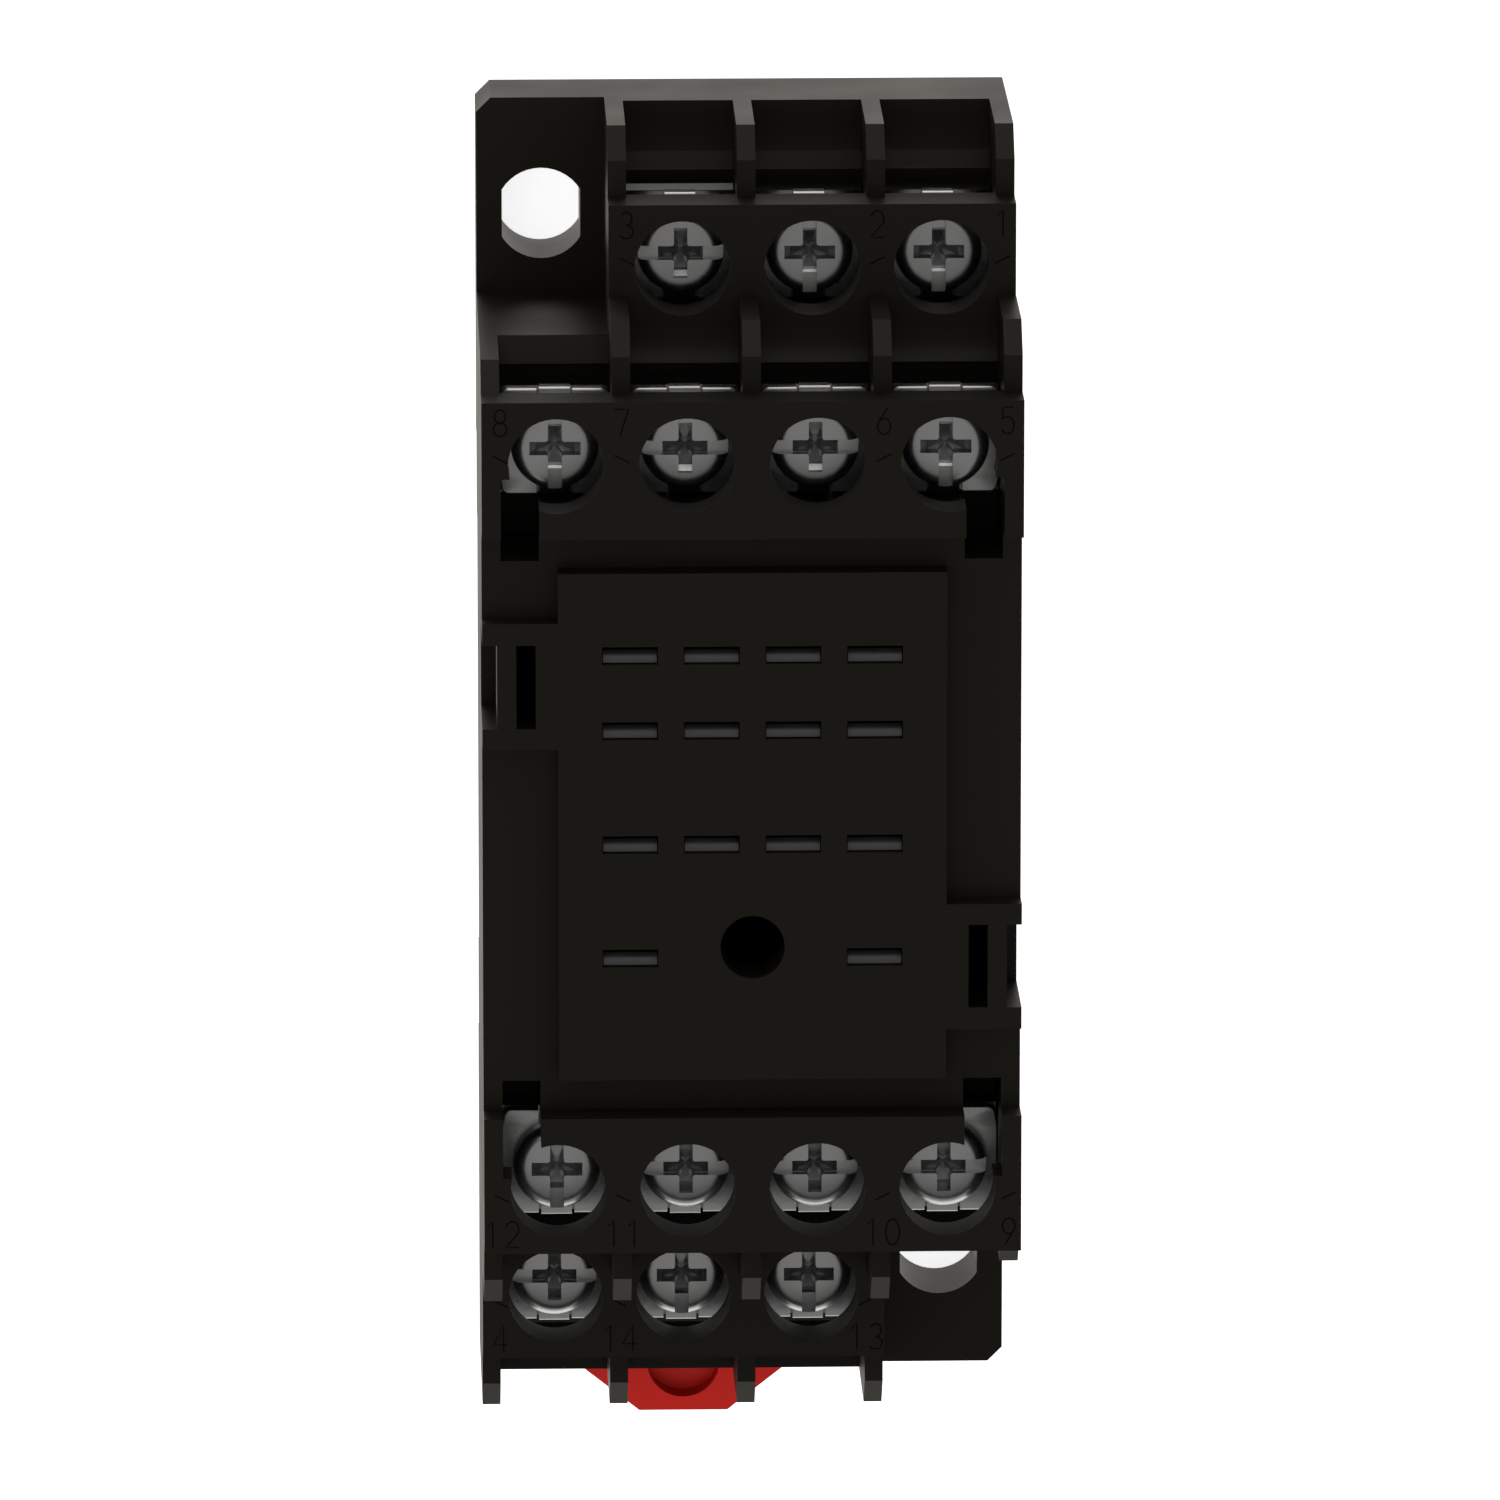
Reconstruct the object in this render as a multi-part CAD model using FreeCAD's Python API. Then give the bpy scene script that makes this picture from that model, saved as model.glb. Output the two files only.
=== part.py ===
import FreeCAD, Part
import os

from FreeCAD import Vector

# A screw-terminal relay socket that lies on its back.
# +Z points out of the front face, +Y along the body towards terminals 1 to 3.
# The origin lies on the mounting plane, midway between the two panel screw holes.

# Body, in mm
BODY_WIDTH = 29.12
BODY_LENGTH = 71.9
PLATE_THICK = 5.4
EAR_CORNER_CUT = 0.8
COLUMNS = 4
RIB_THICK = 1.0

# Panel screw holes, round with two flats, in from the side and from the end
HOLE_INSET_X = 3.56
HOLE_INSET_Y = 6.45
HOLE_RADIUS = 2.52
HOLE_HALF_WIDTH = 2.15

# Terminal tiers: heights of the faces, of the lintels' undersides and of the screws' tops
HIGH_FACE = 28.2
HIGH_LINTEL = 25.5
HIGH_SCREW_TOP = 23.4
LOW_FACE = 17.7
LOW_LINTEL = 14.6
LOW_SCREW_TOP = 13.3

# Terminal tiers along the body: the low screws in from the end, and the high ones in from them
LOW_AXIS_INSET = 7.18
TIER_STEP = 8.71
LINTEL_REACH = 3.5
HIGH_BLOCK_REACH = 4.04
EAR_LENGTH = 10.8

# Floors of the wire entries
LOW_FLOOR = 6.5
LOW_FLOOR_LIP = 7.4
HIGH_FLOOR_LIP = 17.9
RAMP_LENGTH = 1.3

# Partition ribs between the wire entries, from the tier's face down
RIB_DROP = 2.2
RIB_END_DROP = 3.9
RIB_REACH = 7.17
RIB_SLOPE_LENGTH = 1.65

# Screw wells and terminal chambers
WELL_RADIUS = 2.6
CHAMBER_BACK = 3.1
FLANGE_ROOM = 0.1
POCKET_RADIUS = 1.8
POCKET_END_ROOM = 0.3

# Plug deck for the relay
CHANNEL_FACE = 26.0
PLUG_FACE = 27.6
PLUG_HALF_WIDTH = 10.48
PLUG_HALF_LENGTH = 14.03
SLOT_LENGTH = 3.0
SLOT_WIDTH = 1.0
SLOT_PITCH = 4.4
SLOT_ROWS = (9.5, 5.35, -0.95, -7.25)
KEY_HOLE_RADIUS = 1.74
KEY_HOLE_Y = -6.66

# Retainer blocks at the two sides of the plug deck
RETAINER_INNER_Y = 4.35
RETAINER_OUTER_Y = 11.3
RETAINER_SLOT_START = 5.5
RETAINER_SLOT_END = 10.1
RETAINER_SLOT_INSET = 2.36
RETAINER_SLOT_WIDTH = 1.04
RETAINER_NOTCH_DEPTH = 0.8
RETAINER_NOTCH_FLOOR = 21.4

# Corner pockets beside the high screws
CORNER_POCKET_INSET = 2.06
CORNER_POCKET_WIDTH = 2.06
CORNER_POCKET_INNER_Y = 14.42
CORNER_POCKET_OUTER_Y = 19.36
CORNER_POCKET_FLOOR = 18.6

# Hollow under the plug deck
SIDE_WALL = 1.66
HOLLOW_HALF_LENGTH = 13.6
HOLLOW_TOP = 24.4

# Screws, clamp plates and terminal strips
HEAD_RADIUS = 2.375
HEAD_FLAT_RADIUS = 1.79
HEAD_HEIGHT = 1.8
HEAD_EDGE_DROP = 0.75
SHANK_RADIUS = 1.5
SHANK_LENGTH = 5.2
SHANK_TIP = 0.4
DRIVE_SLOT_WIDTH = 0.76
DRIVE_SLOT_DEPTH = 0.7
CROSS_WIDTH = 0.72
CROSS_LENGTH = 2.05
CROSS_DEPTH = 1.2
THREAD_ROOM = 0.06
CLAMP_THICK = 0.9
CLAMP_SIDE_ROOM = 0.085
CLAMP_HALF_LENGTH = 2.93
CLAMP_HOLE_RADIUS = 1.65
CLAMP_SLIT_WIDTH = 0.14
CLAMP_SLIT_DEPTH = 0.8
CLAMP_TAB_WIDTH = 1.67
STRIP_THICK = 0.8
STRIP_WIDTH = 1.2
STRIP_ROOM = 0.1
FLANGE_HEIGHT = 2.0
FLANGE_THICK = 0.7

# Contact springs under the plug deck
CONTACT_WIDTH = 2.88
CONTACT_DEPTH = 1.1
CONTACT_LEAF = 0.25
CONTACT_GAP = 0.4
CONTACT_NIP = 0.1
CONTACT_TIP = 27.2
CONTACT_MOUTH = 26.0
CONTACT_BEND = 24.2

# Rail recess in the back, and the rail clip that slides in it
RAIL_HALF_WIDTH = 17.5
RAIL_ROOM = 0.15
RAIL_RECESS_DEPTH = 2.1
RAIL_MIDDLE_HALF_WIDTH = 12.2
RAIL_MIDDLE_DEPTH = 4.4
HOOK_REACH = 1.1
HOOK_THICK = 0.9
CLIP_X = -3.2
CLIP_FLANGE_WIDTH = 12.0
CLIP_STEM_WIDTH = 9.0
CLIP_BOTTOM = 0.25
CLIP_LEDGE = 1.3
CLIP_TOP = 3.1
CLIP_ROOM = 0.15
CLIP_REACH = 3.35
CLIP_TAPER_START = 0.55
CLIP_END_WIDTH = 4.94
CLIP_THUMB_RADIUS = 2.03
CLIP_THUMB_OUT = 0.55
CLIP_THUMB_DEPTH = 1.5
CLIP_TRAVEL = 2.5
STOP_POST_RADIUS = 1.2
STOP_POST_Y = -25.0
STOP_WINDOW_WIDTH = 4.0

# Worked out from the sizes above
HALF_WIDTH = BODY_WIDTH / 2.0
HALF_LENGTH = BODY_LENGTH / 2.0
COLUMN_PITCH = (BODY_WIDTH - RIB_THICK) / COLUMNS
CHAMBER_HALF_WIDTH = (COLUMN_PITCH - RIB_THICK) / 2.0
EAR_EDGE_X = HALF_WIDTH - COLUMN_PITCH
EAR_WALL_Y = HALF_LENGTH - EAR_LENGTH
LOW_AXIS = HALF_LENGTH - LOW_AXIS_INSET
HIGH_AXIS = LOW_AXIS - TIER_STEP
HOLLOW_HALF_WIDTH = HALF_WIDTH - SIDE_WALL

# The two heights of tier, then the terminal numbers of each tier from column 0 at -X
HIGH = {
    "face": HIGH_FACE, "lintel": HIGH_LINTEL, "screw_top": HIGH_SCREW_TOP,
    "lip": HIGH_FLOOR_LIP, "axis": HIGH_AXIS,
}
LOW = {
    "face": LOW_FACE, "lintel": LOW_LINTEL, "screw_top": LOW_SCREW_TOP,
    "lip": LOW_FLOOR_LIP, "axis": LOW_AXIS,
}
NUMBERS = (
    (LOW, 1, {1: 3, 2: 2, 3: 1}),
    (HIGH, 1, {0: 8, 1: 7, 2: 6, 3: 5}),
    (HIGH, -1, {0: 12, 1: 11, 2: 10, 3: 9}),
    (LOW, -1, {0: 4, 1: 14, 2: 13}),
)

# Terminals whose screw stands with its drive slot along the body
UPRIGHT_DRIVE_SLOTS = (1, 2, 5, 8, 12, 13, 14)


def box(x0, x1, y0, y1, z0, z1):
    """A box between two corners, given in any order."""
    low = Vector(min(x0, x1), min(y0, y1), min(z0, z1))
    return Part.makeBox(abs(x1 - x0), abs(y1 - y0), abs(z1 - z0), low)


def side_profile(points, x0, x1):
    """A closed outline of (y, z) points carried along X from x0 to x1."""
    corners = [Vector(x0, y, z) for y, z in points]
    face = Part.Face(Part.makePolygon(corners + corners[:1]))
    return face.extrude(Vector(x1 - x0, 0, 0))


def plan_profile(points, z0, z1):
    """A closed outline of (x, y) points carried along Z from z0 to z1."""
    corners = [Vector(x, y, z0) for x, y in points]
    face = Part.Face(Part.makePolygon(corners + corners[:1]))
    return face.extrude(Vector(0, 0, z1 - z0))


def turned(shape, side):
    """The shape as it is for side 1, and half a turn about the body's middle for side -1."""
    copy = shape.copy()
    if side < 0:
        copy.rotate(Vector(0, 0, 0), Vector(0, 0, 1), 180)
    return copy


def rib_x(index):
    return (index - COLUMNS / 2.0) * COLUMN_PITCH


def column_x(column):
    return rib_x(column + 0.5)


def clamp_top(tier):
    return tier["screw_top"] - HEAD_HEIGHT


def seat_height(tier):
    """The height of the ledge that a terminal's strip lies on."""
    return clamp_top(tier) - CLAMP_THICK - STRIP_THICK


def terminals():
    """Each terminal's number with its screw's x and y, its tier and its side."""
    for tier, side, numbers in NUMBERS:
        for column, number in numbers.items():
            yield number, column_x(column), side * tier["axis"], tier, side


def strip_lane(number, x):
    """Where a strip runs in: straight from its screw, or between the first row's springs for 6 and 7."""
    if number == 6:
        return SLOT_PITCH
    if number == 7:
        return -SLOT_PITCH
    return x


def slot_place(number):
    """The middle of the plug slot that belongs to a terminal."""
    if number > 3 * COLUMNS:
        column = {13: COLUMNS - 1, 14: 0}[number]
        row = 3
    else:
        column = (COLUMNS - number) % COLUMNS
        row = (number - 1) // COLUMNS
    return (column - (COLUMNS - 1) / 2.0) * SLOT_PITCH, SLOT_ROWS[row]


def panel_hole(side):
    """A round hole cut straight at both sides, through the plate."""
    x = -side * (HALF_WIDTH - HOLE_INSET_X)
    y = side * (HALF_LENGTH - HOLE_INSET_Y)
    round_hole = Part.makeCylinder(HOLE_RADIUS, PLATE_THICK, Vector(x, y, 0))
    flats = box(x - HOLE_HALF_WIDTH, x + HOLE_HALF_WIDTH, y - HOLE_RADIUS, y + HOLE_RADIUS, 0, PLATE_THICK)
    return round_hole.common(flats)


# Base plate with the mounting ears


def base_outline():
    cut = EAR_CORNER_CUT
    return [
        (-HALF_WIDTH, -HALF_LENGTH),
        (HALF_WIDTH - cut, -HALF_LENGTH),
        (HALF_WIDTH, -HALF_LENGTH + cut),
        (HALF_WIDTH, HALF_LENGTH),
        (-HALF_WIDTH + cut, HALF_LENGTH),
        (-HALF_WIDTH, HALF_LENGTH - cut),
    ]


def clip_track(room):
    """The stepped track of the rail clip, wider by room on every side than the clip."""
    stem = CLIP_STEM_WIDTH / 2.0 + room
    flange = CLIP_FLANGE_WIDTH / 2.0 + room
    inner = -RAIL_HALF_WIDTH
    low = box(CLIP_X - stem, CLIP_X + stem, -HALF_LENGTH, inner, 0, CLIP_LEDGE)
    high = box(CLIP_X - flange, CLIP_X + flange, -HALF_LENGTH, inner, CLIP_LEDGE, CLIP_TOP + room)
    return low.fuse(high)


def base_plate():
    """The back plate: two lands that carry the rail's edges, and a deeper middle between them."""
    plate = plan_profile(base_outline(), 0, PLATE_THICK)
    rail_edge = RAIL_HALF_WIDTH + RAIL_ROOM
    recess = box(-HALF_WIDTH, HALF_WIDTH, -rail_edge, rail_edge, 0, RAIL_RECESS_DEPTH)
    hook = box(-HALF_WIDTH, HALF_WIDTH, RAIL_HALF_WIDTH - HOOK_REACH, rail_edge, 0, HOOK_THICK)
    middle = RAIL_MIDDLE_HALF_WIDTH
    deep = box(-HALF_WIDTH, HALF_WIDTH, -middle, middle, 0, RAIL_MIDDLE_DEPTH)
    plate = plate.cut([recess.cut(hook), deep])
    plate = plate.cut(clip_track(CLIP_ROOM))
    post_height = PLATE_THICK - CLIP_BOTTOM
    post = Part.makeCylinder(STOP_POST_RADIUS, post_height, Vector(CLIP_X, STOP_POST_Y, CLIP_BOTTOM))
    plate = plate.fuse(post)
    for side in (1, -1):
        plate = plate.cut(panel_hole(side))
    return plate.removeSplitter()


# Rail clip


def clip_outline(half_width):
    """The clip seen from the front, with its tapered end outside the body."""
    end = -HALF_LENGTH - CLIP_REACH
    taper = -HALF_LENGTH - CLIP_TAPER_START
    slope = (CLIP_FLANGE_WIDTH - CLIP_END_WIDTH) / 2.0 / (taper - end)
    half_end = CLIP_END_WIDTH / 2.0
    start = end + (half_width - half_end) / slope
    inner = -RAIL_HALF_WIDTH - RAIL_ROOM
    return [
        (CLIP_X - half_width, inner),
        (CLIP_X - half_width, start),
        (CLIP_X - half_end, end),
        (CLIP_X + half_end, end),
        (CLIP_X + half_width, start),
        (CLIP_X + half_width, inner),
    ]


def rail_clip():
    """A stepped slide with a hook for the rail, a window round the stop post and a thumb notch."""
    stem = plan_profile(clip_outline(CLIP_STEM_WIDTH / 2.0), CLIP_BOTTOM, CLIP_LEDGE + CLIP_ROOM)
    flange = plan_profile(clip_outline(CLIP_FLANGE_WIDTH / 2.0), CLIP_LEDGE + CLIP_ROOM, CLIP_TOP)
    back = -RAIL_HALF_WIDTH - RAIL_ROOM
    tip = -RAIL_HALF_WIDTH + HOOK_REACH
    nose = [
        (back, CLIP_BOTTOM),
        (tip - HOOK_THICK + CLIP_BOTTOM, CLIP_BOTTOM),
        (tip, HOOK_THICK),
        (back, HOOK_THICK),
    ]
    hook = side_profile(nose, CLIP_X - CLIP_STEM_WIDTH / 2.0, CLIP_X + CLIP_STEM_WIDTH / 2.0)
    clip = stem.fuse([flange, hook])
    thumb_y = -HALF_LENGTH - CLIP_THUMB_OUT
    thumb_z = CLIP_TOP - CLIP_THUMB_DEPTH
    clip = clip.cut(Part.makeCylinder(CLIP_THUMB_RADIUS, CLIP_THUMB_DEPTH, Vector(CLIP_X, thumb_y, thumb_z)))
    post_edge = STOP_POST_RADIUS + CLIP_ROOM
    half_window = STOP_WINDOW_WIDTH / 2.0
    window = box(
        CLIP_X - half_window, CLIP_X + half_window,
        STOP_POST_Y - post_edge, STOP_POST_Y + post_edge + CLIP_TRAVEL,
        0, CLIP_TOP,
    )
    return clip.cut(window).removeSplitter()


# Housing


def stepped_block():
    """The side view of the housing without its ribs, carried over the full width."""
    low_lip = LOW_AXIS + LINTEL_REACH
    high_lip = HIGH_AXIS + LINTEL_REACH
    half = [
        (HALF_LENGTH, PLATE_THICK),
        (HALF_LENGTH, LOW_FLOOR),
        (low_lip + RAMP_LENGTH, LOW_FLOOR),
        (low_lip, LOW_FLOOR_LIP),
        (low_lip, LOW_FACE),
        (high_lip + RAMP_LENGTH, LOW_FACE),
        (high_lip, HIGH_FLOOR_LIP),
        (high_lip, HIGH_FACE),
        (HIGH_AXIS - HIGH_BLOCK_REACH, HIGH_FACE),
        (HIGH_AXIS - HIGH_BLOCK_REACH, CHANNEL_FACE),
    ]
    other_half = [(-y, z) for y, z in reversed(half)]
    return side_profile(half + other_half, -HALF_WIDTH, HALF_WIDTH)


def rib(index, tier, floor, end):
    """One partition rib with a sloped end, standing on the floor of the wire entries."""
    x = rib_x(index)
    face = tier["face"]
    axis = tier["axis"]
    points = [
        (axis + LINTEL_REACH - RIB_THICK, floor),
        (end, floor),
        (end, face - RIB_END_DROP),
        (end - RIB_SLOPE_LENGTH, face - RIB_DROP),
        (axis + LINTEL_REACH - RIB_THICK, face - RIB_DROP),
    ]
    return side_profile(points, x - RIB_THICK / 2.0, x + RIB_THICK / 2.0)


def side_ribs():
    """The ribs of one end of the body: four low ones beside the ear, and five high ones."""
    ribs = []
    for index in range(1, COLUMNS + 1):
        ribs.append(rib(index, LOW, PLATE_THICK, HALF_LENGTH))
        ribs.append(rib(index, HIGH, LOW_FACE - RIB_THICK, HIGH_AXIS + RIB_REACH))
    ribs.append(rib(0, HIGH, PLATE_THICK, EAR_WALL_Y))
    return ribs


def ear_space():
    """The corner that is left open above a mounting ear."""
    return box(-HALF_WIDTH, -EAR_EDGE_X, EAR_WALL_Y, HALF_LENGTH, PLATE_THICK, HIGH_FACE)


def chamber(x, y, tier, side):
    """What one terminal takes out of the housing: chamber, wire mouth, well and shank pocket."""
    lintel = tier["lintel"]
    back = y - side * CHAMBER_BACK
    mouth = y + side * LINTEL_REACH
    flange_back = y + side * (CLAMP_HALF_LENGTH - FLANGE_THICK - FLANGE_ROOM)
    seat = seat_height(tier)
    left = x - CHAMBER_HALF_WIDTH
    right = x + CHAMBER_HALF_WIDTH
    room = box(left, right, back, mouth, seat, lintel)
    front = box(left, right, flange_back, mouth, tier["lip"], seat)
    well = Part.makeCylinder(WELL_RADIUS, tier["face"] - lintel, Vector(x, y, lintel))
    pocket_bottom = clamp_top(tier) - SHANK_LENGTH - POCKET_END_ROOM
    pocket = Part.makeCylinder(POCKET_RADIUS, seat - pocket_bottom, Vector(x, y, pocket_bottom))
    return [room, front, well, pocket]


def strip_passage(number, x, y, tier, side):
    """The way that one strip takes through the wall between its chamber and the hollow."""
    lane = strip_lane(number, x)
    half = STRIP_WIDTH / 2.0 + STRIP_ROOM
    start = y - side * CHAMBER_BACK
    end = side * HOLLOW_HALF_LENGTH
    seat = seat_height(tier)
    return box(lane - half, lane + half, start, end, seat, seat + STRIP_THICK + STRIP_ROOM)


def retainer_block():
    """The raised block at the -X side of the plug deck, before its slot and notch are cut."""
    return box(-HALF_WIDTH, -PLUG_HALF_WIDTH, RETAINER_INNER_Y, RETAINER_OUTER_Y, HOLLOW_TOP, PLUG_FACE)


def retainer_cuts():
    half = RETAINER_SLOT_WIDTH / 2.0
    start = RETAINER_SLOT_START
    end = RETAINER_SLOT_END
    x = RETAINER_SLOT_INSET - HALF_WIDTH
    slot = box(x - half, x + half, start, end, HOLLOW_TOP, PLUG_FACE)
    inner = -HALF_WIDTH + RETAINER_NOTCH_DEPTH
    notch = box(-HALF_WIDTH, inner, start, end, RETAINER_NOTCH_FLOOR, PLUG_FACE)
    return [slot, notch]


def corner_pocket(x_sign):
    half = CORNER_POCKET_WIDTH / 2.0
    x = x_sign * (HALF_WIDTH - CORNER_POCKET_INSET)
    return box(x - half, x + half, CORNER_POCKET_INNER_Y, CORNER_POCKET_OUTER_Y, CORNER_POCKET_FLOOR, HIGH_FACE)


def plug_slots():
    slots = []
    for number, _, _, _, _ in terminals():
        x, y = slot_place(number)
        slots.append(box(
            x - SLOT_LENGTH / 2.0, x + SLOT_LENGTH / 2.0,
            y - SLOT_WIDTH / 2.0, y + SLOT_WIDTH / 2.0,
            HOLLOW_TOP, PLUG_FACE,
        ))
    depth = PLUG_FACE - HOLLOW_TOP
    slots.append(Part.makeCylinder(KEY_HOLE_RADIUS, depth, Vector(0, KEY_HOLE_Y, HOLLOW_TOP)))
    return slots


def housing():
    plug = box(
        -PLUG_HALF_WIDTH, PLUG_HALF_WIDTH,
        -PLUG_HALF_LENGTH, PLUG_HALF_LENGTH,
        HOLLOW_TOP, PLUG_FACE,
    )
    hollow = box(
        -HOLLOW_HALF_WIDTH, HOLLOW_HALF_WIDTH,
        -HOLLOW_HALF_LENGTH, HOLLOW_HALF_LENGTH,
        PLATE_THICK, HOLLOW_TOP,
    )
    added = [plug]
    cuts = [hollow]
    for side in (1, -1):
        added += [turned(shape, side) for shape in side_ribs()]
        added.append(turned(retainer_block(), side))
        cuts += [turned(shape, side) for shape in retainer_cuts()]
        cuts += [turned(corner_pocket(x_sign), side) for x_sign in (1, -1)]
    body = stepped_block()
    body = body.cut([turned(ear_space(), side) for side in (1, -1)])
    body = body.fuse(added)
    for number, x, y, tier, side in terminals():
        cuts += chamber(x, y, tier, side)
        cuts.append(strip_passage(number, x, y, tier, side))
    cuts += plug_slots()
    return body.cut(cuts).removeSplitter()


# Screws, clamp plates and terminal strips


def terminal_screw(number, x, y, tier):
    """A pan head with a cross and a full drive slot, on a plain shank."""
    top = tier["screw_top"]
    under = clamp_top(tier)
    rim = top - HEAD_EDGE_DROP
    tip = under - SHANK_LENGTH
    profile = [
        (0, tip),
        (SHANK_RADIUS - SHANK_TIP, tip),
        (SHANK_RADIUS, tip + SHANK_TIP),
        (SHANK_RADIUS, under),
        (HEAD_RADIUS, under),
        (HEAD_RADIUS, rim),
        (HEAD_FLAT_RADIUS, top),
        (0, top),
    ]
    corners = [Vector(x + r, y, z) for r, z in profile]
    face_shape = Part.Face(Part.makePolygon(corners + corners[:1]))
    screw = face_shape.revolve(Vector(x, y, 0), Vector(0, 0, 1), 360)
    half = DRIVE_SLOT_WIDTH / 2.0
    slot = box(x - HEAD_RADIUS, x + HEAD_RADIUS, y - half, y + half, top - DRIVE_SLOT_DEPTH, top)
    if number in UPRIGHT_DRIVE_SLOTS:
        slot = box(x - half, x + half, y - HEAD_RADIUS, y + HEAD_RADIUS, top - DRIVE_SLOT_DEPTH, top)
    arm = CROSS_LENGTH / 2.0
    half = CROSS_WIDTH / 2.0
    across = box(x - arm, x + arm, y - half, y + half, top - CROSS_DEPTH, top)
    along = box(x - half, x + half, y - arm, y + arm, top - CROSS_DEPTH, top)
    return screw.cut([slot, across, along]).removeSplitter()


def clamp_plate(x, y, tier, side):
    """The square plate that rides on the shank, with two slits that set off its front tab."""
    top = clamp_top(tier)
    half = CHAMBER_HALF_WIDTH - CLAMP_SIDE_ROOM
    front = y + side * CLAMP_HALF_LENGTH
    plate = box(x - half, x + half, y - CLAMP_HALF_LENGTH, y + CLAMP_HALF_LENGTH, top - CLAMP_THICK, top)
    cuts = [Part.makeCylinder(CLAMP_HOLE_RADIUS, CLAMP_THICK, Vector(x, y, top - CLAMP_THICK))]
    for sign in (-1, 1):
        inner = x + sign * CLAMP_TAB_WIDTH / 2.0
        outer = inner + sign * CLAMP_SLIT_WIDTH
        cuts.append(box(inner, outer, front - side * CLAMP_SLIT_DEPTH, front, top - CLAMP_THICK, top))
    return plate.cut(cuts)


def contact_spring(x, y):
    """A folded contact: a foot, a straight leaf, and a bent leaf whose tip flares under the slot."""
    foot_bottom = seat_height(HIGH)
    foot_top = foot_bottom + STRIP_THICK
    left = x - CONTACT_WIDTH / 2.0
    right = x + CONTACT_WIDTH / 2.0
    half_gap = CONTACT_GAP / 2.0
    back = half_gap + CONTACT_LEAF
    foot = box(left, right, y - CONTACT_DEPTH / 2.0, y + CONTACT_DEPTH / 2.0, foot_bottom, foot_top)
    straight = box(left, right, y + half_gap, y + half_gap + CONTACT_LEAF, foot_top, CONTACT_MOUTH)
    nip = half_gap - CONTACT_NIP
    flare = SLOT_WIDTH / 2.0 - STRIP_ROOM / 2.0
    bent = side_profile(
        [
            (y - back, foot_top),
            (y - half_gap, foot_top),
            (y - half_gap, CONTACT_BEND),
            (y + nip, CONTACT_MOUTH),
            (y - flare + CONTACT_LEAF / 2.0, CONTACT_TIP),
            (y - flare, CONTACT_TIP),
            (y + nip - CONTACT_LEAF, CONTACT_MOUTH),
            (y - back, CONTACT_BEND),
        ],
        left, right,
    )
    return [foot, straight, bent]


def terminal_strip(number, x, y, tier, side):
    """One strip: its screw plate with a folded front, its run, its riser and its contact spring."""
    seat = seat_height(tier)
    top = seat + STRIP_THICK
    half = CHAMBER_HALF_WIDTH - CLAMP_SIDE_ROOM
    front = y + side * CLAMP_HALF_LENGTH
    plate = box(x - half, x + half, y - CLAMP_HALF_LENGTH, y + CLAMP_HALF_LENGTH, seat, top)
    flange = box(x - half, x + half, front, front - side * FLANGE_THICK, top - FLANGE_HEIGHT, top)
    lane = strip_lane(number, x)
    slot_x, slot_y = slot_place(number)
    run_half = STRIP_WIDTH / 2.0
    slot_half = CONTACT_DEPTH / 2.0
    inward = slot_y - side * slot_half
    run = box(lane - run_half, lane + run_half, y, inward, seat, top)
    cross = box(lane, slot_x, slot_y - slot_half, slot_y + slot_half, seat, top)
    pieces = [flange, run, cross] + contact_spring(slot_x, slot_y)
    if tier is LOW:
        pieces.append(box(
            slot_x - CONTACT_WIDTH / 2.0, slot_x + CONTACT_WIDTH / 2.0,
            slot_y - STRIP_THICK / 2.0, slot_y + STRIP_THICK / 2.0,
            seat, seat_height(HIGH),
        ))
    hole = Part.makeCylinder(SHANK_RADIUS + THREAD_ROOM, STRIP_THICK, Vector(x, y, seat))
    return plate.fuse(pieces).cut(hole).removeSplitter()


def save(name, shape):
    solids = shape.Solids
    if len(solids) != 1 or not shape.isValid():
        print("check", name, "solids", len(solids), "valid", shape.isValid())
    solids[0].exportStep("parts/" + name + ".step")


def main():
    os.makedirs("parts", exist_ok=True)
    save("housing", housing())
    save("base_plate", base_plate())
    save("rail_clip", rail_clip())
    for number, x, y, tier, side in terminals():
        label = "%02d" % number
        save("terminal_strip_" + label, terminal_strip(number, x, y, tier, side))
        save("clamp_plate_" + label, clamp_plate(x, y, tier, side))
        save("terminal_screw_" + label, terminal_screw(number, x, y, tier))


main()
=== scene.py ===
import math

import bmesh
import bpy
import numpy as np
from mathutils import Matrix, Vector


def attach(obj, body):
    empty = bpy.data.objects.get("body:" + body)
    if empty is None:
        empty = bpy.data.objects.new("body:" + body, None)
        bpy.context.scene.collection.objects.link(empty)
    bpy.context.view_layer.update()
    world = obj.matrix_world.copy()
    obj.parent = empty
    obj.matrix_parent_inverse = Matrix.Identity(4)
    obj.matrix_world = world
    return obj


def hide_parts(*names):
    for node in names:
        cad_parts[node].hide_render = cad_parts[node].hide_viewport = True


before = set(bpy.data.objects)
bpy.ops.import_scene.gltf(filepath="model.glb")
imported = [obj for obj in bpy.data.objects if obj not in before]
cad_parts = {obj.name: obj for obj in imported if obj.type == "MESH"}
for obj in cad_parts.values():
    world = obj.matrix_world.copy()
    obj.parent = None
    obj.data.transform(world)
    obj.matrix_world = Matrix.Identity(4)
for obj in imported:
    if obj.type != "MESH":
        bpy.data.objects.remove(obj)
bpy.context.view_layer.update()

MM = 0.001

# In mm: a distance that counts as none, how far a cutter reaches past what it cuts, and the small ring that
# merges into a pole
TINY = 0.001
CUT_MARGIN = 0.3
POLE_RADIUS = 0.02
POLE_MERGE = 0.03

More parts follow.
